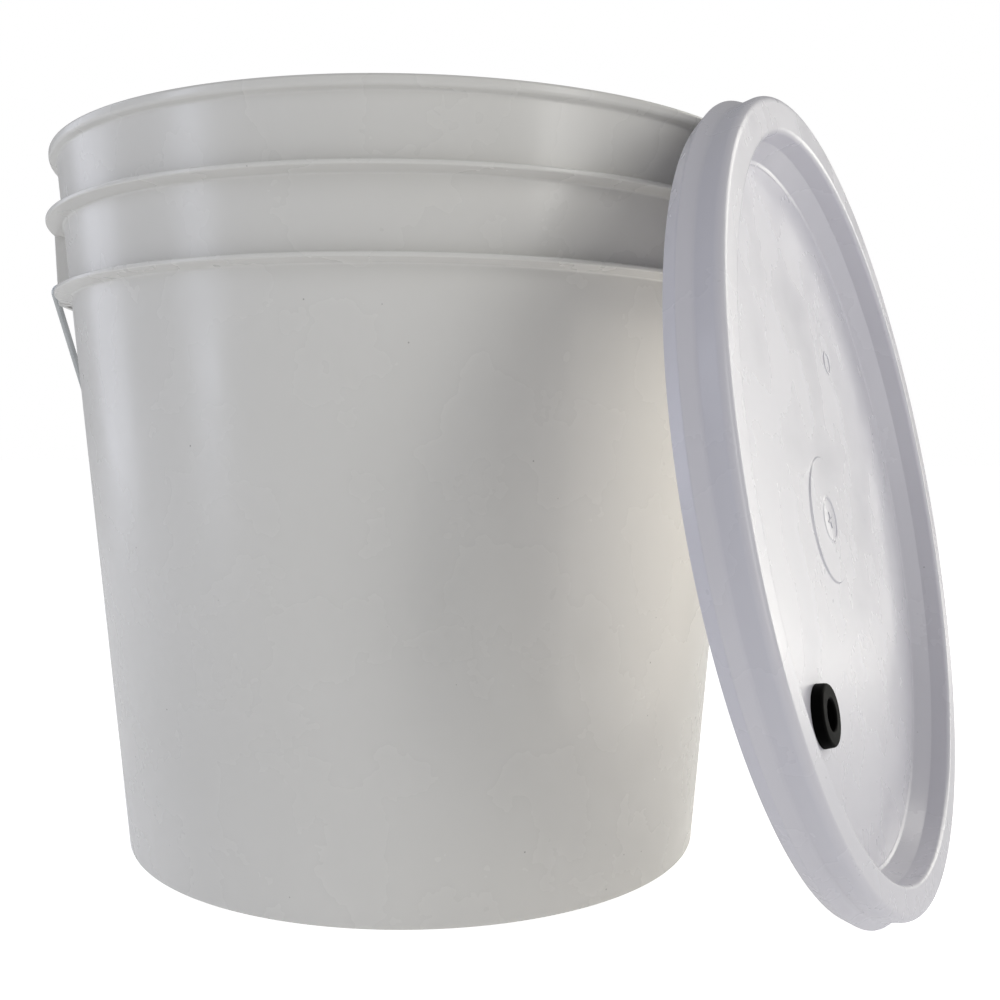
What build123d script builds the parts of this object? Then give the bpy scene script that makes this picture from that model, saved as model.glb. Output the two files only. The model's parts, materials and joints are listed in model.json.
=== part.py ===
from build123d import *
from math import cos, radians, sin
import os

# Fermenting bucket: a tapered pail with a wire bail, and its drilled lid leaning on the rim.
# Millimetres, +Z up. The origin is the centre of the bucket's foot ring, on the floor.
# The ears, and so the bail's pivot axis, lie along X. The bail hangs at the back, +Y.

# ---- pail ------------------------------------------------------------------------------------
pail_height = 237.7
base_radius = 107.4            # outside of the wall at the floor
wall_taper = 0.0514            # growth of the wall's radius for each millimetre of height
wall_thickness = 2.0
foot_height = 3.0              # how far the floor panel stands above the ground
foot_width = 4.4
floor_thickness = 2.4
base_corner = 2.0
inner_corner = 3.5

rim_radius = 121.8             # outer edge of the rim's lip
rim_edge = 2.8                 # height of the lip's outer face
rim_slope = 0.7                # how much deeper the lip is at the wall than at its edge
upper_rib_radius = 123.9
upper_rib_top = 216.8
lower_rib_radius = 122.6
lower_rib_top = 194.5
rib_edge = 1.3                 # thickness of a rib at its outer edge
rib_slope = 0.9                # how much thicker a rib is at the wall

# ---- ears and bail ---------------------------------------------------------------------------
ear_face = 123.0               # distance of the ear's outer face from the pail's axis
ear_half_width = 12.0
ear_plate = 1.8
ear_side = 2.0
pocket_inner = 118.7           # flat inner side of the ear's pocket, just outside the wall
pivot_height = 200.0
wire_radius = 1.2
pivot_clearance = 0.08
bail_half_width = 128.0        # distance of a leg's centre line from the pail's axis
bail_reach = 172.5             # from the pivot axis to the middle of the bail
bail_corner = 84.0
pivot_bend = 3.2
wire_end = 119.4               # distance of the wire's two ends from the pail's axis
bail_drop = 45.7               # degrees below the horizontal where the bail rests on the wall

grip_length = 86.0
grip_radius = 8.0
grip_waist = 7.2
grip_collar = 5.0
grip_bore = wire_radius + pivot_clearance
groove_count = 9
groove_pitch = 7.0
groove_radius = 2.2
groove_depth = 0.6

# ---- lid -------------------------------------------------------------------------------------
# Depths in the lid are measured down from the plane of its crown, along the lid's outward normal.
crown_radius = 123.9
crown_shoulder = 2.5           # rounding of the crown's outer edge
crown_inner = 113.2
crown_lip = 1.5                # rounding of the crown's inner edge
waist_depth = 8.0
bead_radius = 126.5            # widest part of the skirt, a bead just above its open edge
bead_depth = 11.7
bead_round = 1.2
skirt_edge_radius = 123.6
skirt_depth = 14.8
skirt_wall = 1.6
bead_inner = 123.4             # inside of the skirt behind the bead
snap_radius = 121.2            # inner ridge that grips under the rim's lip when the lid is on
snap_depth = 9.0
lid_wall = 1.8
plug_depth = 6.6               # where the plug wall ends and the slope to the panel begins
panel_radius = 109.8
panel_depth = 12.2
channel_inner = 115.2
channel_outer = 122.4
gasket_thickness = 2.4
gasket_margin = 0.9

hub_radius = 20.0              # raised disc in the middle of the panel
hub_height = 0.5

lid_azimuth = -32.85           # degrees from +X, the way the lid faces
lid_tilt = 13.64               # degrees that the lid's face looks upward
lid_reach = 164.4              # distance of the lid's centre from the pail's axis, that way
lid_sideways = 4.1             # shift along the lid's own horizontal direction
foot_circle = 123.2            # the ring of the bead on which the leaning lid stands
foot_bead = 3.3                # and how far the bead bulges from that ring

# ---- airlock grommet ---------------------------------------------------------------------------
grommet_x = -50.7              # place in the lid, along its horizontal direction
grommet_y = -53.1              # and up its face
grommet_radius = 9.3
grommet_flange = 3.4
grommet_neck = 6.35
grommet_bore = 4.6
grommet_gap = 0.05             # between the neck and the hole in the lid


def wall_radius(height):
    """Outside radius of the pail's wall at a height above the floor."""
    return base_radius + wall_taper * height


# ---- worked out ----------------------------------------------------------------------------------
normal = Vector(
    cos(radians(lid_tilt)) * cos(radians(lid_azimuth)),
    cos(radians(lid_tilt)) * sin(radians(lid_azimuth)),
    sin(radians(lid_tilt)),
)
across = Vector(-sin(radians(lid_azimuth)), cos(radians(lid_azimuth)), 0)
up_face = normal.cross(across)
facing = Vector(cos(radians(lid_azimuth)), sin(radians(lid_azimuth)), 0)

# The skirt's bead stands on the floor, so its ring is one bead radius above it at the lowest point.
lid_height = foot_bead + foot_circle * cos(radians(lid_tilt)) + bead_depth * sin(radians(lid_tilt))
lid_centre = facing * lid_reach + across * lid_sideways + Vector(0, 0, lid_height)

lid_face = Plane(origin=lid_centre, x_dir=across, z_dir=normal)
lid_section = Plane(origin=lid_centre, x_dir=across, z_dir=-up_face)
lid_axis = Axis(lid_centre, normal)

bail_plane = Plane(
    origin=(0, 0, pivot_height),
    x_dir=(1, 0, 0),
    z_dir=(0, sin(radians(bail_drop)), cos(radians(bail_drop))),
)

os.makedirs("parts", exist_ok=True)


def write(node, name):
    """Label a finished piece and write it as its own STEP file."""
    node.part.label = name
    export_step(node.part, "parts/" + name + ".step")


# ---- bucket_body ---------------------------------------------------------------------------------
# One moulding: the tapered shell on its foot ring, the rim's lip, two ribs and the two ear boxes
# between the ribs, whose outer plates carry the bail. The ears' pockets are open below.
flanges = [
    (rim_radius, pail_height, rim_edge, rim_slope),
    (upper_rib_radius, upper_rib_top, rib_edge, rib_slope),
    (lower_rib_radius, lower_rib_top, rib_edge, rib_slope),
]
floor_top = foot_height + floor_thickness
ear_root = wall_radius(lower_rib_top) - wall_thickness / 2
ear_bottom = lower_rib_top - rib_edge - rib_slope
ear_top = upper_rib_top - rib_edge
ear_back = ear_face - ear_plate

with BuildPart() as bucket_body:
    with BuildSketch(Plane.XZ):
        with BuildLine():
            FilletPolyline(
                (0, foot_height),
                (base_radius - foot_width, foot_height),
                (base_radius - foot_width, 0),
                (base_radius, 0),
                (wall_radius(pail_height), pail_height),
                (wall_radius(pail_height) - wall_thickness, pail_height),
                (wall_radius(floor_top) - wall_thickness, floor_top),
                (0, floor_top),
                radius=[0, 1, 0.4, base_corner, 0, wall_thickness * 0.4, inner_corner, 0],
                close=True,
            )
        make_face()
    revolve(axis=Axis.Z)

    for radius, top, edge, slope in flanges:
        root = wall_radius(top) - wall_thickness / 2
        with BuildSketch(Plane.XZ) as flange_section:
            with BuildLine():
                Polyline(
                    (root, top),
                    (radius, top),
                    (radius, top - edge),
                    (wall_radius(top), top - edge - slope),
                    (root, top - edge - slope),
                    close=True,
                )
            make_face()
            fillet(flange_section.vertices().group_by(Axis.X)[-1], edge * 0.42)
        revolve(axis=Axis.Z)

    for side in (-1, 1):
        with BuildSketch(Plane.XY.offset(ear_bottom)):
            with Locations((side * (ear_root + ear_face) / 2, 0)):
                Rectangle(ear_face - ear_root, 2 * ear_half_width)
        extrude(amount=ear_top - ear_bottom)
        with BuildSketch(Plane.XY.offset(ear_bottom)):
            with Locations((side * (pocket_inner + ear_back) / 2, 0)):
                RectangleRounded(ear_back - pocket_inner, 2 * (ear_half_width - ear_side), 0.8)
        extrude(amount=ear_top - ear_side - ear_bottom, mode=Mode.SUBTRACT)
        with BuildSketch(Plane.YZ.offset(side * ear_back)):
            with Locations((0, pivot_height)):
                Circle(wire_radius + pivot_clearance)
        extrude(amount=side * 2 * ear_plate, mode=Mode.SUBTRACT)

write(bucket_body, "bucket_body")

# ---- bail_wire -----------------------------------------------------------------------------------
# A round wire: two legs, two wide corners and a straight stretch for the grip, with both ends
# bent inwards through the ears. It lies back against the pail.
with BuildPart() as bail_wire:
    with BuildLine(bail_plane) as bail_line:
        FilletPolyline(
            (-wire_end, 0),
            (-bail_half_width, 0),
            (-bail_half_width, bail_reach),
            (bail_half_width, bail_reach),
            (bail_half_width, 0),
            (wire_end, 0),
            radius=[pivot_bend, bail_corner, bail_corner, pivot_bend],
        )
    with BuildSketch(Plane(origin=bail_line.line @ 0, z_dir=bail_line.line % 0)):
        Circle(wire_radius)
    sweep()

write(bail_wire, "bail_wire")

# ---- bail_grip -----------------------------------------------------------------------------------
# A plastic roller on the straight stretch: a barrel with a collar at each end and shallow
# finger grooves.
grip_centre = bail_plane.from_local_coords((0, bail_reach, 0))
grip_half = grip_length / 2
with BuildPart() as bail_grip:
    with BuildSketch(Plane(origin=grip_centre, x_dir=(1, 0, 0), z_dir=bail_plane.z_dir)) as grip_section:
        with BuildLine():
            FilletPolyline(
                (-grip_half, grip_bore),
                (-grip_half, grip_radius),
                (-grip_half + grip_collar, grip_radius),
                (-grip_half + grip_collar + 3, grip_waist),
                (grip_half - grip_collar - 3, grip_waist),
                (grip_half - grip_collar, grip_radius),
                (grip_half, grip_radius),
                (grip_half, grip_bore),
                radius=[0, 1.2, 2, 3, 3, 2, 1.2, 0],
                close=True,
            )
        make_face()
    revolve(axis=Axis(grip_centre, (1, 0, 0)))
    for place in range(-groove_count // 2 + 1, groove_count // 2 + 1):
        groove_x = place * groove_pitch
        with BuildSketch(Plane(origin=grip_centre, x_dir=(1, 0, 0), z_dir=bail_plane.z_dir)):
            with Locations((groove_x, grip_waist + groove_radius - groove_depth)):
                Circle(groove_radius)
        revolve(axis=Axis(grip_centre, (1, 0, 0)), mode=Mode.SUBTRACT)

write(bail_grip, "bail_grip")

# ---- lid -----------------------------------------------------------------------------------------
# A sunk panel, a plug wall that stands inside the pail's mouth, a crown over the channel for the
# rim, and a skirt with a bead outside and a gripping ridge inside.
channel_top = -lid_wall
with BuildPart() as lid:
    with BuildSketch(lid_section):
        with BuildLine():
            FilletPolyline(
                (0, -panel_depth),
                (panel_radius, -panel_depth),
                (crown_inner, -plug_depth),
                (crown_inner, 0),
                (crown_radius, 0),
                (crown_radius, -waist_depth),
                (bead_radius, -bead_depth),
                (skirt_edge_radius, -skirt_depth),
                (skirt_edge_radius - skirt_wall, -skirt_depth),
                (bead_inner, -bead_depth - 0.8),
                (snap_radius, -snap_depth),
                (channel_outer, -snap_depth + 3),
                (channel_outer, channel_top),
                (channel_inner, channel_top),
                (channel_inner, -plug_depth - 1.8),
                (panel_radius + 1.2, -panel_depth - lid_wall),
                (0, -panel_depth - lid_wall),
                radius=[0, 1.2, 1.2, crown_lip, crown_shoulder, 5, bead_round, 0.4, 0.4, 1, 0.5, 0.5, 1, 1, 1, 1.4, 0],
                close=True,
            )
        make_face()
    revolve(axis=lid_axis)
    with BuildSketch(lid_face.offset(-panel_depth)):
        Circle(hub_radius)
    extrude(amount=hub_height)
    with BuildSketch(lid_face.offset(-panel_depth)):
        with Locations((grommet_x, grommet_y)):
            Circle(grommet_neck + grommet_gap)
    extrude(amount=-lid_wall, mode=Mode.SUBTRACT)

write(lid, "lid")

# ---- lid_gasket ----------------------------------------------------------------------------------
# A flat sealing ring that lies in the top of the lid's channel.
gasket_inner = channel_inner + gasket_margin
gasket_outer = channel_outer - gasket_margin
with BuildPart() as lid_gasket:
    with BuildSketch(lid_face.offset(channel_top)):
        Circle(gasket_outer)
        Circle(gasket_inner, mode=Mode.SUBTRACT)
    extrude(amount=-gasket_thickness)
    fillet(lid_gasket.edges().filter_by(GeomType.CIRCLE), 0.6)

write(lid_gasket, "lid_gasket")

# ---- airlock_grommet -----------------------------------------------------------------------------
# A soft ring with a flange on each side of the panel and a neck between them through the hole.
grommet_spot = lid_face.from_local_coords((grommet_x, grommet_y, -panel_depth))
grommet_section = Plane(origin=grommet_spot, x_dir=across, z_dir=-up_face)
with BuildPart() as airlock_grommet:
    with BuildSketch(grommet_section):
        with BuildLine():
            FilletPolyline(
                (grommet_bore, grommet_flange),
                (grommet_radius, grommet_flange),
                (grommet_radius, 0),
                (grommet_neck, 0),
                (grommet_neck, -lid_wall),
                (grommet_radius - 0.8, -lid_wall),
                (grommet_radius - 0.8, -lid_wall - grommet_flange),
                (grommet_bore, -lid_wall - grommet_flange),
                radius=[0.7, 1.1, 0.3, 0, 0, 0.3, 1.1, 0.7],
                close=True,
            )
        make_face()
    revolve(axis=Axis(grommet_spot, normal))

write(airlock_grommet, "airlock_grommet")
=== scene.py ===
import json
from math import cos, pi, radians, sin, tan

import bmesh
import bpy
from mathutils import Matrix, Vector


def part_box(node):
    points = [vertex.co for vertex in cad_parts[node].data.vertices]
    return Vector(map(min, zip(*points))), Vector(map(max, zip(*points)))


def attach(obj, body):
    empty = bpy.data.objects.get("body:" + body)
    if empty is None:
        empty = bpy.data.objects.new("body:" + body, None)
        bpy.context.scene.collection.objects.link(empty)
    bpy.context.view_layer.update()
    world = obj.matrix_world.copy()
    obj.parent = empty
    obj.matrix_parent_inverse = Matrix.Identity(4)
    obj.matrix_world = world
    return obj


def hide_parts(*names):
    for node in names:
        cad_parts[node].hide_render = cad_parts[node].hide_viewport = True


# A plastic fermenting pail on a pale floor, with its lid leaning on the rim. Shapes are drawn in
# millimetres in each piece's own frame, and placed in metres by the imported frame's joints and mounts.

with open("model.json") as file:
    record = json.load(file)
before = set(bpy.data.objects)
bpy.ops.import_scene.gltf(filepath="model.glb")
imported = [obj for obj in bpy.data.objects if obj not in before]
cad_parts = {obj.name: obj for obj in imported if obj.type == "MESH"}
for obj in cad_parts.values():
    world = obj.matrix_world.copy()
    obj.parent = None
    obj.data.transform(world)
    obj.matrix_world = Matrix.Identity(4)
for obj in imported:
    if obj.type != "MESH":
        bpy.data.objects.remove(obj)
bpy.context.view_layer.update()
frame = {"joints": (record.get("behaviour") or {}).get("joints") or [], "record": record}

MM = 0.001

# Points closer than this, in millimetres, are welded into one.
WELD = 0.0005
# Sides of a full turn, on the pail and lid and on the small turned parts.
WIDE_TURN = 288
SMALL_TURN = 96

# ---- the frame -----------------------------------------------------------------------------------
joints = {joint["name"]: joint for joint in frame["joints"]}
mounts = {mount["name"]: mount for mount in frame["record"]["mounts"]}

pail_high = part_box("bucket_body")[1]
wire_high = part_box("bail_wire")[1]
grip_low, grip_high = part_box("bail_grip")
pivot = Vector(joints["bail_hinge"]["pos_m"])
grip_centre = Vector(joints["grip_roll"]["pos_m"])
lid_normal = Vector(mounts["airlock_bore"]["axis"]).normalized()
lid_across = Vector(joints["lid_tip"]["axis"]).normalized()
lid_up = lid_normal.cross(lid_across)
right = Vector((1, 0, 0))
reach_way = (grip_centre - pivot).normalized()

# ---- pail, in millimetres ------------------------------------------------------------------------
PAIL_HEIGHT = pail_high.z / MM
BASE_RADIUS = 107.4
WALL_TAPER = 0.0514
WALL = 2.0
FOOT_HEIGHT = 3.0
FOOT_WIDTH = 4.4
FLOOR = 2.4
RIM_REACH = 121.8
RIM_EDGE = 2.8
RIM_SLOPE = 0.7
RIB_REACH = pail_high.x / MM
LOWER_RIB_REACH = 122.6
UPPER_RIB_TOP = 216.8
LOWER_RIB_TOP = 194.5
RIB_EDGE = 1.3
RIB_SLOPE = 0.9
PIVOT_HEIGHT = pivot.z / MM
EAR_FACE = 123.0
EAR_HALF_WIDTH = 12.0
EAR_PLATE = 1.8
EAR_SIDE = 2.0
EAR_ROUND = 0.4
POCKET_INNER = 118.7
POCKET_MOUTH = 3

# ---- bail and grip -------------------------------------------------------------------------------
WIRE = 1.2
WIRE_END_ROUND = 0.4
WIRE_SIDES = 32
PIVOT_PLAY = 0.08
BAIL_HALF_WIDTH = wire_high.x / MM - WIRE
BAIL_REACH = (grip_centre - pivot).length / MM
BAIL_CORNER = 84.0
PIVOT_BEND = 3.2
CORNER_STEPS = 64
PIVOT_STEPS = 12
WIRE_END = 119.4
GRIP_HALF = grip_high.x / MM
GRIP_RADIUS = (grip_high.z - grip_low.z) / MM / 2
GRIP_WAIST = 7.2
GRIP_COLLAR = 5.0
GRIP_SHOULDER = 3
GRIP_BORE = WIRE + PIVOT_PLAY
GROOVES = range(-4, 5)
GROOVE_PITCH = 7.0
GROOVE_HALF = 1.5
GROOVE_DEPTH = 0.6

# ---- lid, in millimetres: heights along its normal, from the plane of its crown --------------------
CROWN_RADIUS = 123.9
CROWN_INNER = 113.2
WAIST_RADIUS = CROWN_RADIUS - 0.3
WAIST_DEPTH = 7.2
BEAD_RADIUS = 125.9
BEAD_DEPTH = 10.8
SKIRT_EDGE = 123.6
SKIRT_DEPTH = 14.8
SKIRT_WALL = 1.6
BEAD_INNER = CROWN_RADIUS - 0.7
BEAD_INNER_DEPTH = BEAD_DEPTH + 0.8
LID_WALL = 1.8
PLUG_DEPTH = 6.6
PANEL_RADIUS = 109.8
PANEL_DEPTH = 12.2
CHANNEL_INNER = 115.2
CHANNEL_OUTER = 122.4
RIDGE_RADIUS = CHANNEL_OUTER - 1.2
RIDGE_DEPTH = WAIST_DEPTH + 1.0
RIDGE_START = WAIST_DEPTH - 2
RING_MARGIN = 0.9
RING_THICKNESS = 2.4
HUB_RADIUS = 20.0
HUB_HEIGHT = 0.5
GATE_RING = 7.3
GATE_RING_HALF = 0.6
GATE_CROSS_HALF = (0.4, 2.6)
GATE_CROSS_TURN = 0.2
PIN_MARK_SPOT = (36.8, 52.2)
PIN_RING = 3.5
MARK_SUNK = 0.4
MARK_HEIGHT = 0.3
GROMMET_RADIUS = 9.3
GROMMET_FLANGE = 3.4
GROMMET_NECK = 6.35
GROMMET_BORE = mounts["airlock_bore"]["dims"]["r_mm"]
HOLE_PLAY = 0.05
DRILL = 12

# The tipping hinge lies under the lid's centre, on the bead that the lid stands on.
HINGE_BELOW = 123.2
HINGE_DEPTH = 4.89
lid_centre = (
    Vector(joints["lid_tip"]["pos_m"]) + lid_up * HINGE_BELOW * MM + lid_normal * HINGE_DEPTH * MM
)
bore_offset = (Vector(mounts["airlock_bore"]["pos_m"]) - lid_centre) / MM
GROMMET_SPOT = (bore_offset.dot(lid_across), bore_offset.dot(lid_up))


def wall_at(height):
    """Outside radius of the pail's wall at a height above the floor."""
    return BASE_RADIUS + WALL_TAPER * height


def placed(origin, x_axis, z_axis):
    """The matrix that takes millimetres in a piece's own frame to its place, in metres."""
    y_axis = z_axis.cross(x_axis)
    turn = Matrix((x_axis, y_axis, z_axis)).transposed().to_4x4()
    return Matrix.Translation(origin) @ turn @ Matrix.Scale(MM, 4)


PAIL_PLACE = placed(Vector((0, 0, 0)), right, Vector((0, 0, 1)))
BAIL_PLACE = placed(pivot, right, right.cross(reach_way))
GRIP_PLACE = placed(grip_centre, reach_way, right)
LID_PLACE = placed(lid_centre, lid_across, lid_normal)


# ---- mesh tools ----------------------------------------------------------------------------------
def outline(bm, corners, closed):
    """An outline in the XZ plane through (radius, height, corner radius) points, rounded by bevels."""
    verts = [bm.verts.new((x, 0, z)) for x, z, _ in corners]
    pairs = list(zip(verts, verts[1:]))
    if closed:
        pairs.append((verts[-1], verts[0]))
    for pair in pairs:
        bm.edges.new(pair)
    for vert, (_, _, radius) in zip(verts, corners):
        if radius:
            ends = [edge.other_vert(vert).co - vert.co for edge in vert.link_edges]
            turn = pi - ends[0].angle(ends[1])
            bmesh.ops.bevel(
                bm, geom=[vert], offset=radius * tan(turn / 2), segments=max(3, round(turn * 5)),
                profile=0.5, affect="VERTICES", material=-1,
            )


def turned(corners, closed=True, steps=WIDE_TURN):
    """A form turned about Z, from an outline of (radius, height, corner radius) points."""
    bm = bmesh.new()
    outline(bm, corners, closed)
    bmesh.ops.spin(
        bm, geom=bm.verts[:] + bm.edges[:], cent=(0, 0, 0), axis=(0, 0, 1),
        angle=2 * pi, steps=steps, use_merge=True,
    )
    bmesh.ops.remove_doubles(bm, verts=bm.verts, dist=WELD)
    bmesh.ops.recalc_face_normals(bm, faces=bm.faces)
    return bm


def block(low, high, rounding=0.0):
    """A box between two corners, with its edges rounded."""
    bm = bmesh.new()
    bmesh.ops.create_cube(bm, size=1)
    size = [b - a for a, b in zip(low, high)]
    bmesh.ops.scale(bm, vec=size, verts=bm.verts)
    bmesh.ops.translate(bm, vec=[(a + b) / 2 for a, b in zip(low, high)], verts=bm.verts)
    if rounding:
        bmesh.ops.bevel(
            bm, geom=bm.edges, offset=rounding, segments=3, profile=0.5, affect="EDGES", material=-1
        )
    return bm


def rod(radius, length, steps=48):
    """A plain closed rod about Z, half its length each side of the origin."""
    half = length / 2
    corners = [(0, -half, 0), (radius, -half, 0), (radius, half, 0), (0, half, 0)]
    return turned(corners, closed=False, steps=steps)


def moved(bm, matrix):
    """The same form, moved by a matrix."""
    bmesh.ops.transform(bm, matrix=matrix, verts=bm.verts)
    return bm


def as_mesh(bm, name):
    """A mesh made from a form, which is freed."""
    mesh = bpy.data.meshes.new(name)
    bm.to_mesh(mesh)
    bm.free()
    return mesh


def together(*forms):
    """Several forms in one bmesh."""
    whole = bmesh.new()
    for form in forms:
        mesh = as_mesh(form, "part")
        whole.from_mesh(mesh)
        bpy.data.meshes.remove(mesh)
    return whole


def carved(bm, tool, operation):
    """The form after a boolean operation with a tool."""
    work = bpy.data.objects.new("work", as_mesh(bm, "work"))
    cutter = bpy.data.objects.new("cutter", as_mesh(tool, "cutter"))
    for made in (work, cutter):
        bpy.context.scene.collection.objects.link(made)
    boolean = work.modifiers.new("boolean", "BOOLEAN")
    boolean.operation = operation
    boolean.object = cutter
    boolean.solver = "EXACT"
    view = bpy.context.evaluated_depsgraph_get()
    result = bmesh.new()
    result.from_mesh(work.evaluated_get(view).to_mesh())
    for made in (work, cutter):
        mesh = made.data
        bpy.data.objects.remove(made)
        bpy.data.meshes.remove(mesh)
    bmesh.ops.remove_doubles(result, verts=result.verts, dist=WELD)
    return result


def piece(name, bm, place, body, material, node):
    """Finish a bmesh as a named piece that rides on a body and stands for a CAD node."""
    moved(bm, place)
    bmesh.ops.recalc_face_normals(bm, faces=bm.faces)
    mesh = as_mesh(bm, name)
    mesh.shade_smooth()
    mesh.set_sharp_from_angle(angle=radians(40))
    made = bpy.data.objects.new(name, mesh)
    bpy.context.scene.collection.objects.link(made)
    mesh.materials.append(material)
    weights = made.modifiers.new("face_weight", "WEIGHTED_NORMAL")
    weights.keep_sharp = True
    weights.weight = 80
    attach(made, body)
    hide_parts(node)
    return made


# ---- materials -----------------------------------------------------------------------------------
def colour(code):
    """A linear colour from an sRGB hex value such as #d8d7d4."""
    parts = [int(code[i:i + 2], 16) / 255 for i in (1, 3, 5)]
    return [p / 12.92 if p <= 0.04045 else ((p + 0.055) / 1.055) ** 2.4 for p in parts] + [1.0]


def add(tree, kind, inputs=(), **settings):
    """Add a node with its settings, and set or link its inputs, given as (socket, value) pairs."""
    node = tree.nodes.new(kind)
    for key, value in settings.items():
        setattr(node, key, value)
    for socket, value in inputs:
        if isinstance(value, bpy.types.NodeSocket):
            tree.links.new(value, node.inputs[socket])
        else:
            node.inputs[socket].default_value = value
    return node


def new_material(name):
    """An empty material and its node tree."""
    material = bpy.data.materials.new(name)
    material.use_nodes = True
    material.node_tree.nodes.clear()
    return material, material.node_tree


def moulded_hdpe(name, light, dark, dusty_height):
    """Injection-moulded HDPE: waxy, with a soft gloss. Its resin shades slowly over the wall, its skin
    is faintly rippled, and it has picked up specks of dust, which thin out up to dusty_height, in
    metres."""
    material, tree = new_material(name)
    place = add(tree, "ShaderNodeTexCoord").outputs["Object"]
    cloud = add(tree, "ShaderNodeTexNoise", [("Vector", place), ("Scale", 1 / (70 * MM)), ("Detail", 3)])
    tone = add(
        tree, "ShaderNodeMix",
        [("Factor", cloud.outputs["Fac"]), (6, colour(light)), (7, colour(dark))], data_type="RGBA",
    )
    # Cells 7 mm apart. Half of them hold a speck about half a millimetre wide at the floor, and one in
    # ten does at dusty_height.
    cells = add(
        tree, "ShaderNodeTexVoronoi", [("Vector", place), ("Scale", 1 / (7 * MM)), ("Randomness", 1.0)]
    )
    speck = add(
        tree, "ShaderNodeMapRange",
        [("Value", cells.outputs["Distance"]), ("From Min", 0.05), ("From Max", 0.025)],
    )
    height = add(tree, "ShaderNodeSeparateXYZ", [(0, place)]).outputs["Z"]
    kept = add(
        tree, "ShaderNodeMapRange",
        [("Value", height), ("From Min", 0.0), ("From Max", dusty_height), ("To Min", 0.5), ("To Max", 0.9)],
    )
    chance = add(tree, "ShaderNodeSeparateColor", [(0, cells.outputs["Color"])]).outputs[0]
    chosen = add(
        tree, "ShaderNodeMath", [(0, chance), (1, kept.outputs[0])], operation="GREATER_THAN"
    )
    dust = add(
        tree, "ShaderNodeMath", [(0, speck.outputs[0]), (1, chosen.outputs[0])], operation="MULTIPLY"
    )
    faint = add(tree, "ShaderNodeMath", [(0, dust.outputs[0]), (1, 0.55)], operation="MULTIPLY")
    dusted = add(
        tree, "ShaderNodeMix",
        [("Factor", faint.outputs[0]), (6, tone.outputs[2]), (7, colour("#55524e"))], data_type="RGBA",
    )
    # Ripples of the mould's skin, about 4 mm across, and a scuffed sheen in patches of 25 mm.
    ripple = add(tree, "ShaderNodeTexNoise", [("Vector", place), ("Scale", 1 / (4 * MM)), ("Detail", 2)])
    skin = add(
        tree, "ShaderNodeBump",
        [("Height", ripple.outputs["Fac"]), ("Strength", 0.06), ("Distance", 0.3 * MM)],
    )
    scuff = add(tree, "ShaderNodeTexNoise", [("Vector", place), ("Scale", 1 / (25 * MM)), ("Detail", 4)])
    sheen = add(
        tree, "ShaderNodeMapRange",
        [("Value", scuff.outputs["Fac"]), ("From Min", 0.3), ("From Max", 0.7),
         ("To Min", 0.22), ("To Max", 0.32)],
    )
    shader = add(
        tree, "ShaderNodeBsdfPrincipled",
        [("Base Color", dusted.outputs[2]), ("Roughness", sheen.outputs[0]), ("IOR", 1.5),
         ("Normal", skin.outputs[0])],
    )
    add(tree, "ShaderNodeOutputMaterial", [("Surface", shader.outputs[0])])
    return material


def moulded_polyethylene():
    """White polyethylene grip: satin, with the fine haze of a worn mould."""
    material, tree = new_material("white_polyethylene")
    place = add(tree, "ShaderNodeTexCoord").outputs["Object"]
    haze = add(tree, "ShaderNodeTexNoise", [("Vector", place), ("Scale", 1 / (12 * MM)), ("Detail", 4)])
    tone = add(
        tree, "ShaderNodeMix",
        [("Factor", haze.outputs["Fac"]), (6, colour("#efeeec")), (7, colour("#e2e1dd"))],
        data_type="RGBA",
    )
    grain = add(tree, "ShaderNodeTexNoise", [("Vector", place), ("Scale", 1 / (0.8 * MM)), ("Detail", 2)])
    skin = add(
        tree, "ShaderNodeBump",
        [("Height", grain.outputs["Fac"]), ("Strength", 0.15), ("Distance", 0.1 * MM)],
    )
    shader = add(
        tree, "ShaderNodeBsdfPrincipled",
        [("Base Color", tone.outputs[2]), ("Roughness", 0.38), ("IOR", 1.5), ("Normal", skin.outputs[0])],
    )
    add(tree, "ShaderNodeOutputMaterial", [("Surface", shader.outputs[0])])
    return material


def nitrile_rubber():
    """Black moulded rubber: near black, satin where it is clean and greyer where it has bloomed."""
    material, tree = new_material("black_nitrile_rubber")
    place = add(tree, "ShaderNodeTexCoord").outputs["Object"]
    bloom = add(tree, "ShaderNodeTexNoise", [("Vector", place), ("Scale", 1 / (3 * MM)), ("Detail", 5)])
    tone = add(
        tree, "ShaderNodeMix",
        [("Factor", bloom.outputs["Fac"]), (6, colour("#020202")), (7, colour("#060606"))],
        data_type="RGBA",
    )
    rough = add(
        tree, "ShaderNodeMapRange", [("Value", bloom.outputs["Fac"]), ("To Min", 0.45), ("To Max", 0.65)]
    )
    shader = add(
        tree, "ShaderNodeBsdfPrincipled",
        [("Base Color", tone.outputs[2]), ("Roughness", rough.outputs[0]), ("IOR", 1.5),
         ("Specular IOR Level", 0.03)],
    )
    add(tree, "ShaderNodeOutputMaterial", [("Surface", shader.outputs[0])])
    return material


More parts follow.
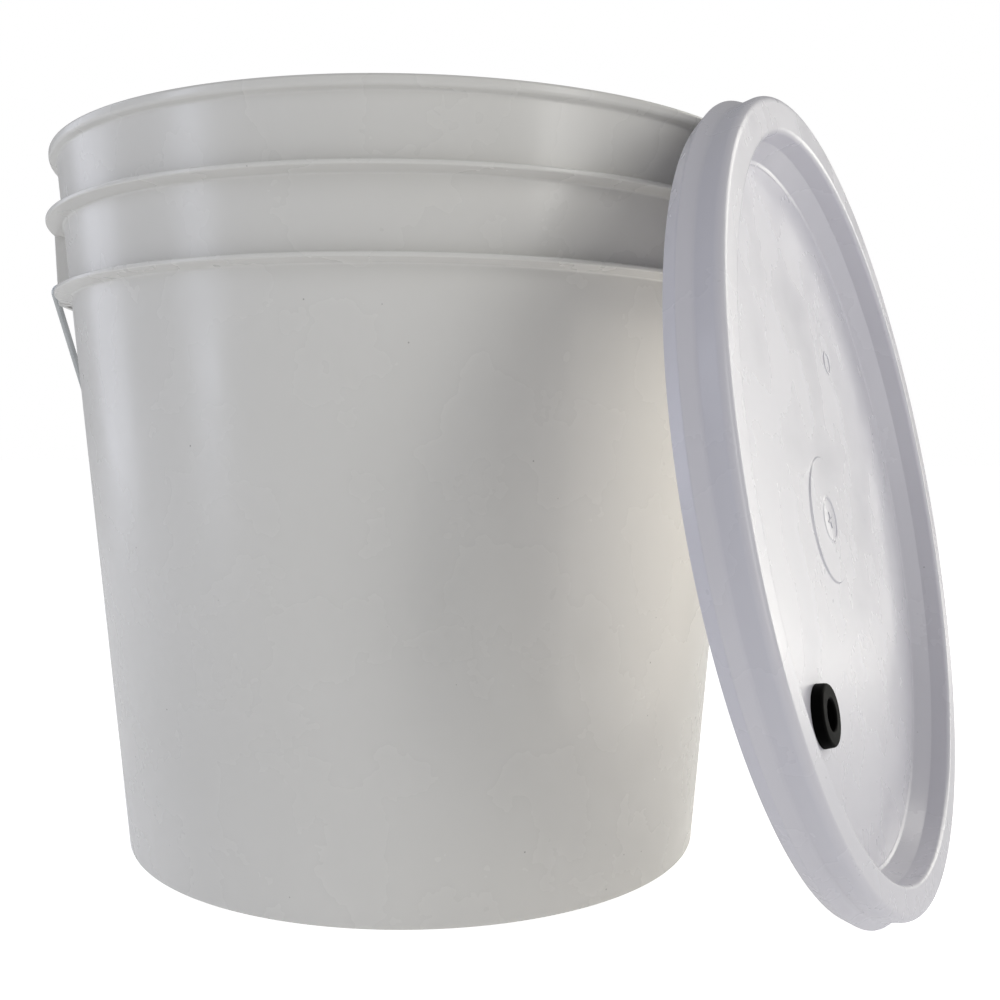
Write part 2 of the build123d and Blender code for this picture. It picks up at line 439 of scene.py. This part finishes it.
def foamed_seal():
    """Off-white foamed sealing ring: matt, with fine pores."""
    material, tree = new_material("foamed_rubber_seal")
    place = add(tree, "ShaderNodeTexCoord").outputs["Object"]
    pores = add(tree, "ShaderNodeTexVoronoi", [("Vector", place), ("Scale", 1 / (0.7 * MM))])
    pits = add(
        tree, "ShaderNodeBump",
        [("Height", pores.outputs["Distance"]), ("Strength", 0.4), ("Distance", 0.15 * MM)],
    )
    tone = add(
        tree, "ShaderNodeMix",
        [("Factor", pores.outputs["Distance"]), (6, colour("#c9c6bd")), (7, colour("#dcd9d0"))],
        data_type="RGBA",
    )
    shader = add(
        tree, "ShaderNodeBsdfPrincipled",
        [("Base Color", tone.outputs[2]), ("Roughness", 0.85), ("IOR", 1.45), ("Normal", pits.outputs[0])],
    )
    add(tree, "ShaderNodeOutputMaterial", [("Surface", shader.outputs[0])])
    return material


def zinc_plated_wire():
    """Zinc-plated steel wire: bright, drawn lengthwise, with a slightly clouded plating."""
    material, tree = new_material("zinc_plated_steel")
    place = add(tree, "ShaderNodeTexCoord").outputs["Object"]
    cloud = add(tree, "ShaderNodeTexNoise", [("Vector", place), ("Scale", 1 / (6 * MM)), ("Detail", 4)])
    tone = add(
        tree, "ShaderNodeMix",
        [("Factor", cloud.outputs["Fac"]), (6, colour("#cfd2d2")), (7, colour("#a9adae"))],
        data_type="RGBA",
    )
    rough = add(
        tree, "ShaderNodeMapRange", [("Value", cloud.outputs["Fac"]), ("To Min", 0.14), ("To Max", 0.34)]
    )
    shader = add(
        tree, "ShaderNodeBsdfPrincipled",
        [("Base Color", tone.outputs[2]), ("Metallic", 1.0), ("Roughness", rough.outputs[0])],
    )
    add(tree, "ShaderNodeOutputMaterial", [("Surface", shader.outputs[0])])
    return material


pail_hdpe = moulded_hdpe("natural_hdpe", "#e2e1de", "#dbdad6", 0.22)
# The lid's resin colours are set darker than the pail's. That darkness is painted shade: it stands in for
# the lid getting less light than the pail, whose wall lets light through. The lilac tint is the lid's own.
lid_hdpe = moulded_hdpe("lid_hdpe_painted_shade", "#d5d4db", "#cdccd4", 0.30)
grip_plastic = moulded_polyethylene()
rubber = nitrile_rubber()
seal = foamed_seal()
steel = zinc_plated_wire()


# ---- pail ----------------------------------------------------------------------------------------
def flange(reach, top, edge, slope, root_round=0.7):
    """The corners of a rib or lip outside the wall, from its underside to its top."""
    foot = top - edge - slope
    edge_round = 0.4 * edge
    return [
        (wall_at(foot), foot, root_round),
        (reach, top - edge, edge_round),
        (reach, top, edge_round),
        (wall_at(top), top, root_round),
    ]


def pail_form():
    """One moulding: foot ring, floor, tapered wall, ribs, rim, and an ear box on each side."""
    floor_top = FOOT_HEIGHT + FLOOR
    rim = flange(RIM_REACH, PAIL_HEIGHT, RIM_EDGE, RIM_SLOPE)[:3]
    shell = turned([
        (0, FOOT_HEIGHT, 0),
        (BASE_RADIUS - FOOT_WIDTH, FOOT_HEIGHT, 1.0),
        (BASE_RADIUS - FOOT_WIDTH, 0, 0.4),
        (BASE_RADIUS, 0, 2.0),
        *flange(LOWER_RIB_REACH, LOWER_RIB_TOP, RIB_EDGE, RIB_SLOPE),
        *flange(RIB_REACH, UPPER_RIB_TOP, RIB_EDGE, RIB_SLOPE),
        *rim,
        (wall_at(PAIL_HEIGHT) - WALL, PAIL_HEIGHT, 0.8),
        (wall_at(floor_top) - WALL, floor_top, 3.5),
        (0, floor_top, 0),
    ], closed=False)
    ear_bottom = LOWER_RIB_TOP - RIB_EDGE - RIB_SLOPE
    ear_top = UPPER_RIB_TOP - RIB_EDGE / 2
    inside = EAR_HALF_WIDTH - EAR_SIDE
    # The drill starts at the ear plate's inner face and runs out past its outer one.
    drill = 2 * EAR_PLATE + 2
    ears, pockets, holes = [], [], []
    for side in (-1, 1):
        near, far = sorted((side * (wall_at(LOWER_RIB_TOP) - WALL / 2), side * EAR_FACE))
        ears.append(block((near, -EAR_HALF_WIDTH, ear_bottom), (far, EAR_HALF_WIDTH, ear_top), EAR_ROUND))
        near, far = sorted((side * POCKET_INNER, side * (EAR_FACE - EAR_PLATE)))
        pockets.append(block((near, -inside, ear_bottom - POCKET_MOUTH), (far, inside, ear_top - EAR_SIDE)))
        outwards = Matrix.Translation((side * (EAR_FACE + 1), 0, PIVOT_HEIGHT))
        holes.append(moved(rod(WIRE + PIVOT_PLAY, drill), outwards @ Matrix.Rotation(pi / 2, 4, "Y")))
    shell = carved(shell, together(*ears), "UNION")
    shell = carved(shell, together(*pockets), "DIFFERENCE")
    return carved(shell, together(*holes), "DIFFERENCE")


# ---- bail ----------------------------------------------------------------------------------------
def run(bm, ring, step):
    """Draw a ring of edges straight out, and return its new edges."""
    grown = bmesh.ops.extrude_edge_only(bm, edges=ring)["geom"]
    verts = [item for item in grown if isinstance(item, bmesh.types.BMVert)]
    bmesh.ops.translate(bm, vec=step, verts=verts)
    return [
        item for item in grown
        if isinstance(item, bmesh.types.BMEdge) and all(vert in verts for vert in item.verts)
    ]


def bend(bm, ring, centre, steps):
    """Draw a ring of edges through a quarter turn to the right, and return its last edges."""
    verts = list({vert for edge in ring for vert in edge.verts})
    last = bmesh.ops.spin(
        bm, geom=verts + ring, cent=centre, axis=(0, 0, 1), angle=-pi / 2, steps=steps
    )["geom_last"]
    return [item for item in last if isinstance(item, bmesh.types.BMEdge)]


def bail_form():
    """The wire in its own plane: X along the pivot axis, Y towards the grip."""
    bm = bmesh.new()
    bmesh.ops.create_circle(bm, cap_ends=False, radius=WIRE, segments=WIRE_SIDES)
    bmesh.ops.rotate(bm, matrix=Matrix.Rotation(pi / 2, 3, "Y"), verts=bm.verts)
    bmesh.ops.translate(bm, vec=(-WIRE_END, 0, 0), verts=bm.verts)
    inner = BAIL_HALF_WIDTH - PIVOT_BEND
    wide = BAIL_HALF_WIDTH - BAIL_CORNER
    leg = BAIL_REACH - BAIL_CORNER
    first = bm.edges[:]
    ring = run(bm, first, (WIRE_END - inner, 0, 0))
    ring = bend(bm, ring, (-inner, PIVOT_BEND, 0), PIVOT_STEPS)
    ring = run(bm, ring, (0, leg - PIVOT_BEND, 0))
    ring = bend(bm, ring, (-wide, leg, 0), CORNER_STEPS)
    ring = run(bm, ring, (2 * wide, 0, 0))
    ring = bend(bm, ring, (wide, leg, 0), CORNER_STEPS)
    ring = run(bm, ring, (0, PIVOT_BEND - leg, 0))
    ring = bend(bm, ring, (inner, PIVOT_BEND, 0), PIVOT_STEPS)
    ring = run(bm, ring, (WIRE_END - inner, 0, 0))
    for end in (first, ring):
        bmesh.ops.edgeloop_fill(bm, edges=end)
    bmesh.ops.bevel(
        bm, geom=first + ring, offset=WIRE_END_ROUND, segments=3, profile=0.5, affect="EDGES",
        material=-1,
    )
    return bm


def grip_form():
    """A roller about Z: a collar at each end, a waist between them and shallow finger grooves."""
    half = [
        (GRIP_BORE, -GRIP_HALF, 0.4),
        (GRIP_RADIUS, -GRIP_HALF, 1.2),
        (GRIP_RADIUS, GRIP_COLLAR - GRIP_HALF, 2.0),
        (GRIP_WAIST, GRIP_COLLAR + GRIP_SHOULDER - GRIP_HALF, 3.0),
    ]
    grooves = [
        corner for groove in GROOVES for corner in (
            (GRIP_WAIST, groove * GROOVE_PITCH - GROOVE_HALF, 0.5),
            (GRIP_WAIST - GROOVE_DEPTH, groove * GROOVE_PITCH, 1.6),
            (GRIP_WAIST, groove * GROOVE_PITCH + GROOVE_HALF, 0.5),
        )
    ]
    mirrored = [(r, -z, rounding) for r, z, rounding in reversed(half)]
    return turned(half + grooves + mirrored, steps=SMALL_TURN)


# ---- lid -----------------------------------------------------------------------------------------
def lid_form():
    """One moulding: sunk panel with its hub, plug wall, crown, waisted skirt and inner ridge."""
    hub_top = HUB_HEIGHT - PANEL_DEPTH
    panel_back = -PANEL_DEPTH - LID_WALL
    shell = turned([
        (0, hub_top, 0),
        # A fine raised ring round the gate, with a groove inside it.
        (GATE_RING - 1.0, hub_top, 0.2),
        (GATE_RING - GATE_RING_HALF, hub_top - 0.35, 0.2),
        (GATE_RING, hub_top + 0.25, 0.2),
        (GATE_RING + GATE_RING_HALF, hub_top, 0.2),
        # The hub's step down to the panel.
        (HUB_RADIUS - 0.2, hub_top, 0.3),
        (HUB_RADIUS + 0.2, -PANEL_DEPTH, 0.3),
        # A groove and a lip round the panel, then the slope to the plug wall.
        (PANEL_RADIUS - 1.4, -PANEL_DEPTH, 0.5),
        (PANEL_RADIUS - 0.5, -PANEL_DEPTH - 0.4, 0.5),
        (PANEL_RADIUS + 0.4, -PANEL_DEPTH + 0.2, 0.8),
        (CROWN_INNER, -PLUG_DEPTH, 0.9),
        (CROWN_INNER, 0, 1.5),
        # The crown, the waist and the bead of the skirt.
        (CROWN_RADIUS, 0, 2.5),
        (WAIST_RADIUS, -WAIST_DEPTH, 2.0),
        (BEAD_RADIUS, -BEAD_DEPTH, 0.5),
        (SKIRT_EDGE, -SKIRT_DEPTH, 0.4),
        (SKIRT_EDGE - SKIRT_WALL, -SKIRT_DEPTH, 0.4),
        # Back up the inside of the skirt, past the ridge that grips the rim, and round the channel.
        (BEAD_INNER, -BEAD_INNER_DEPTH, 1.0),
        (RIDGE_RADIUS, -RIDGE_DEPTH, 0.5),
        (CHANNEL_OUTER, -RIDGE_START, 0.5),
        (CHANNEL_OUTER, -LID_WALL, 1.0),
        (CHANNEL_INNER, -LID_WALL, 1.0),
        (CHANNEL_INNER, -PLUG_DEPTH - LID_WALL, 1.0),
        (PANEL_RADIUS + 1.2, panel_back, 1.4),
        (0, panel_back, 0),
    ], closed=False)
    hole = rod(GROMMET_NECK + HOLE_PLAY, DRILL, SMALL_TURN)
    shell = carved(shell, moved(hole, Matrix.Translation((*GROMMET_SPOT, -PANEL_DEPTH))), "DIFFERENCE")
    pin_mark = turned([
        (PIN_RING - 0.6, -MARK_SUNK, 0),
        (PIN_RING - 0.3, MARK_HEIGHT, 0.15),
        (PIN_RING + 0.3, MARK_HEIGHT, 0.15),
        (PIN_RING + 0.6, -MARK_SUNK, 0),
    ], steps=SMALL_TURN)
    moved(pin_mark, Matrix.Translation((*PIN_MARK_SPOT, -PANEL_DEPTH)))
    wide, long = GATE_CROSS_HALF
    gate_marks = [
        moved(
            block((-wide, -long, -0.2), (wide, long, MARK_HEIGHT), 0.12),
            Matrix.Translation((0, 0, hub_top)) @ Matrix.Rotation(turn, 4, "Z"),
        )
        for turn in (GATE_CROSS_TURN, GATE_CROSS_TURN + pi / 2)
    ]
    return together(shell, pin_mark, *gate_marks)


def seal_form():
    """The flat sealing ring in the top of the lid's channel."""
    inner = CHANNEL_INNER + RING_MARGIN
    outer = CHANNEL_OUTER - RING_MARGIN
    top = -LID_WALL
    low = top - RING_THICKNESS
    return turned([(inner, top, 0.6), (inner, low, 0.9), (outer, low, 0.9), (outer, top, 0.6)])


def grommet_form():
    """A flange on each side of the panel and a neck between them, about the airlock's bore."""
    half = [
        (GROMMET_BORE, GROMMET_FLANGE, 0.7),
        (GROMMET_RADIUS - 0.3, GROMMET_FLANGE, 0.9),
        (GROMMET_RADIUS, 0, 0.3),
        (GROMMET_NECK, 0, 0),
    ]
    mirrored = [(r, -LID_WALL - z, rounding) for r, z, rounding in reversed(half)]
    form = turned(half + mirrored, steps=SMALL_TURN)
    return moved(form, Matrix.Translation((*GROMMET_SPOT, -PANEL_DEPTH)))


piece("pail", pail_form(), PAIL_PLACE, "bucket", pail_hdpe, "bucket_body")
piece("bail", bail_form(), BAIL_PLACE, "bail", steel, "bail_wire")
piece("grip", grip_form(), GRIP_PLACE, "grip", grip_plastic, "bail_grip")
piece("pail_lid", lid_form(), LID_PLACE, "lid", lid_hdpe, "lid")
piece("sealing_ring", seal_form(), LID_PLACE, "lid", seal, "lid_gasket")
piece("grommet", grommet_form(), LID_PLACE, "lid", rubber, "airlock_grommet")

# ---- floor, light and camera ---------------------------------------------------------------------
# The floor glows like a light table, so the ribs and the rim are lit from below too. It and the sky
# show brighter than they light, so the ground behind the pail is plain white.
FLOOR_SIZE = 12
FLOOR_GLOW = 0.22
FLOOR_SHOWN = 0.75
SKY_GLOW = 0.3
SKY_SHOWN = 1.0

floor_bm = bmesh.new()
bmesh.ops.create_grid(floor_bm, x_segments=1, y_segments=1, size=FLOOR_SIZE)
floor_mesh = as_mesh(floor_bm, "floor")
floor = bpy.data.objects.new("floor", floor_mesh)
bpy.context.scene.collection.objects.link(floor)
floor_material, tree = new_material("white_sweep")
floor_diffuse = add(tree, "ShaderNodeBsdfDiffuse", [("Color", colour("#f4f4f4"))])
seen = add(tree, "ShaderNodeLightPath").outputs["Is Camera Ray"]
glow = add(tree, "ShaderNodeMapRange", [("Value", seen), ("To Min", FLOOR_GLOW), ("To Max", FLOOR_SHOWN)])
floor_glow = add(
    tree, "ShaderNodeEmission", [("Color", colour("#ffffff")), ("Strength", glow.outputs[0])]
)
floor_sum = add(tree, "ShaderNodeAddShader", [(0, floor_diffuse.outputs[0]), (1, floor_glow.outputs[0])])
add(tree, "ShaderNodeOutputMaterial", [("Surface", floor_sum.outputs[0])])
floor_mesh.materials.append(floor_material)

world = bpy.data.worlds.new("studio")
bpy.context.scene.world = world
world.use_nodes = True
world.node_tree.nodes.clear()
sky = add(world.node_tree, "ShaderNodeBackground", [("Color", colour("#ffffff")), ("Strength", SKY_GLOW)])
backdrop = add(
    world.node_tree, "ShaderNodeBackground", [("Color", colour("#ffffff")), ("Strength", SKY_SHOWN)]
)
rays = add(world.node_tree, "ShaderNodeLightPath")
choice = add(
    world.node_tree, "ShaderNodeMixShader",
    [(0, rays.outputs["Is Camera Ray"]), (1, sky.outputs[0]), (2, backdrop.outputs[0])],
)
add(world.node_tree, "ShaderNodeOutputWorld", [("Surface", choice.outputs[0])])


def around(azimuth, distance, height):
    """A place in metres at an azimuth in degrees to the right of the front."""
    return Vector((distance * sin(radians(azimuth)), -distance * cos(radians(azimuth)), height))


def softbox(name, at, towards, width, tall, watts, tint, shown=True):
    """A rectangular soft light at a place, that faces along a direction. The camera sees it if shown."""
    data = bpy.data.lights.new(name, "AREA")
    data.shape = "RECTANGLE"
    data.size = width
    data.size_y = tall
    data.energy = watts
    data.color = colour(tint)[:3]
    made = bpy.data.objects.new(name, data)
    made.location = at
    made.rotation_euler = towards.to_track_quat("-Z", "Y").to_euler()
    made.visible_camera = shown
    bpy.context.scene.collection.objects.link(made)


LIGHT_DISTANCE = 1.3
LIGHT_TALL = 1.3
GLOW_GAP = 3
GLOW_DROP = 12
GLOW_SIZE = 0.15

pail_middle = Vector((0, 0, PAIL_HEIGHT * MM / 2))
for name, azimuth, height, width, watts, tint in (
    ("left_strip", -66, 0.45, 0.20, 3.4, "#e9eeff"),
    ("back_left", -112, 0.50, 0.50, 3.0, "#eef1ff"),
    ("front_right", 43, 0.50, 0.30, 4.7, "#fffefb"),
    ("back_right", 115, 0.60, 0.50, 7.0, "#fffdf4"),
):
    at = around(azimuth, LIGHT_DISTANCE, height)
    softbox(name, at, pail_middle - at, width, LIGHT_TALL, watts, tint)
# This weak light stands in for what soaks through the lid's milky panel on to the pail.
glow_depth = PANEL_DEPTH + LID_WALL + GLOW_GAP
behind_lid = lid_centre - (lid_normal * glow_depth + lid_up * GLOW_DROP) * MM
softbox("lid_glow", behind_lid, -lid_normal, GLOW_SIZE, GLOW_SIZE, 0.045, "#fff9ea", shown=False)

camera_data = bpy.data.cameras.new("camera")
camera_data.lens = 41.277
camera_data.sensor_width = 36
camera_data.shift_x = 0.0201
camera_data.shift_y = 0.1655
camera_data.clip_start = 0.02
camera = bpy.data.objects.new("camera", camera_data)
camera.location = (0, -0.43507, 0.14382)
camera.rotation_euler = (radians(79.366), radians(-0.381), radians(-3.286))
bpy.context.scene.collection.objects.link(camera)
bpy.context.scene.camera = camera
bpy.context.scene.view_settings.view_transform = "Standard"
